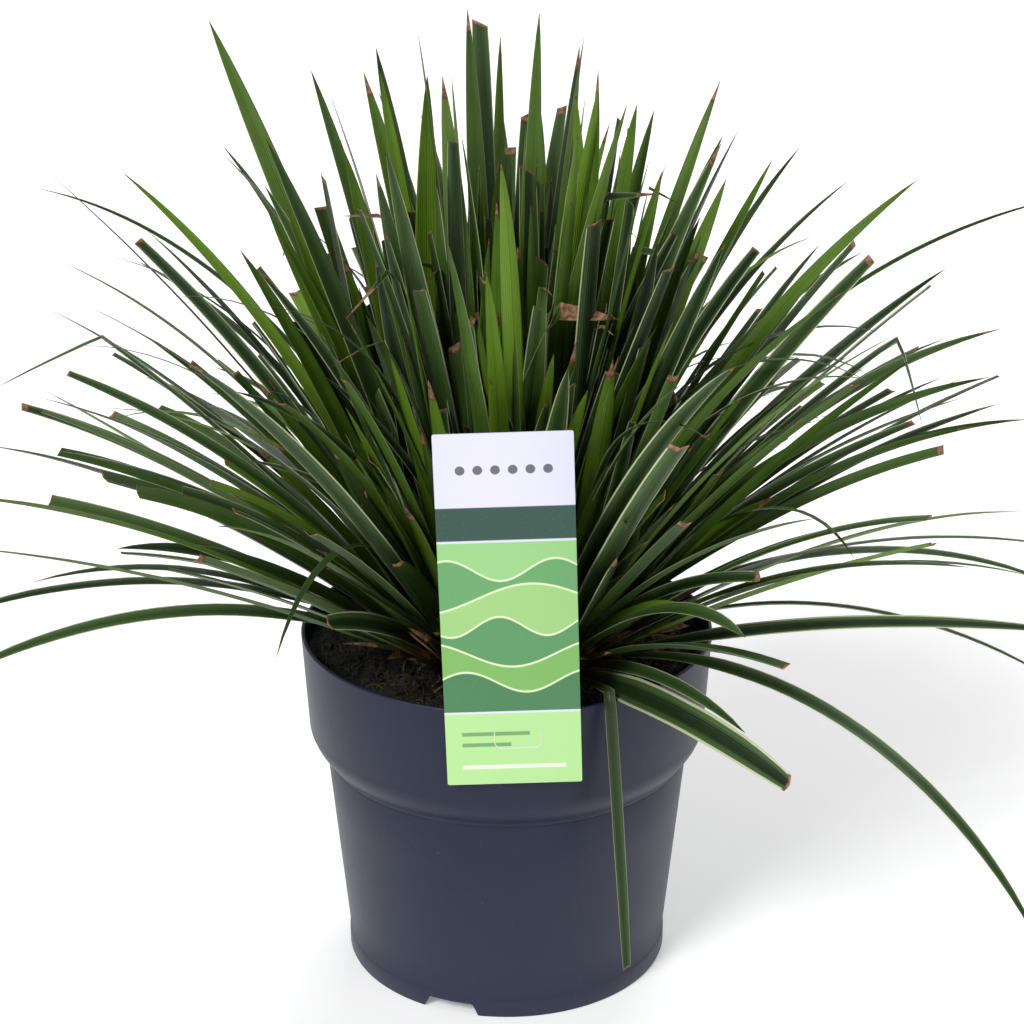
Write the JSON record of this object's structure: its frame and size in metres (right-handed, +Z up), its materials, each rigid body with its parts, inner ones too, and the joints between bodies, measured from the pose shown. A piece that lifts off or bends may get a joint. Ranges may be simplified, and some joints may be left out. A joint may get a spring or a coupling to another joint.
{
  "type": "potted sedge",
  "caption": "Clump of arching, keeled and partly cream-edged sedge leaves growing from peat in a collared round nursery pot, with a plain plant label hooked on the rim",
  "frame": {"origin": "centre of the pot's foot, on the surface that the pot stands on", "axes": "+Z up along the pot's axis; -Y is the front, where the label hangs; +X is to the right as seen from the front"},
  "size_m": [0.5324, 0.3682, 0.441],
  "materials": {
    "pot_plastic": "satin slate-blue grey",
    "peat": "rough, moist, fibrous",
    "young_leaf": "satin bright green, finely ribbed",
    "mature_leaf": "satin dark green with cream edges, finely ribbed",
    "dry_spike": "matt, dry and scaly",
    "label_card": "smooth printed card"
  },
  "bodies": {
    "root": {"pot": "pot_plastic", "peat": "peat", "plant_label": "label_card", "flower_spike": "dry_spike", "heart_shoots_1": "young_leaf", "heart_shoots_2": "young_leaf", "heart_shoots_3": "young_leaf", "skirt_shoots_1": "mature_leaf", "skirt_shoots_2": "mature_leaf", "skirt_shoots_3": "mature_leaf", "skirt_shoots_4": "mature_leaf", "skirt_shoots_5": "mature_leaf", "skirt_shoots_6": "mature_leaf", "skirt_shoots_7": "mature_leaf", "skirt_shoots_8": "mature_leaf"}
  },
  "joints": []
}
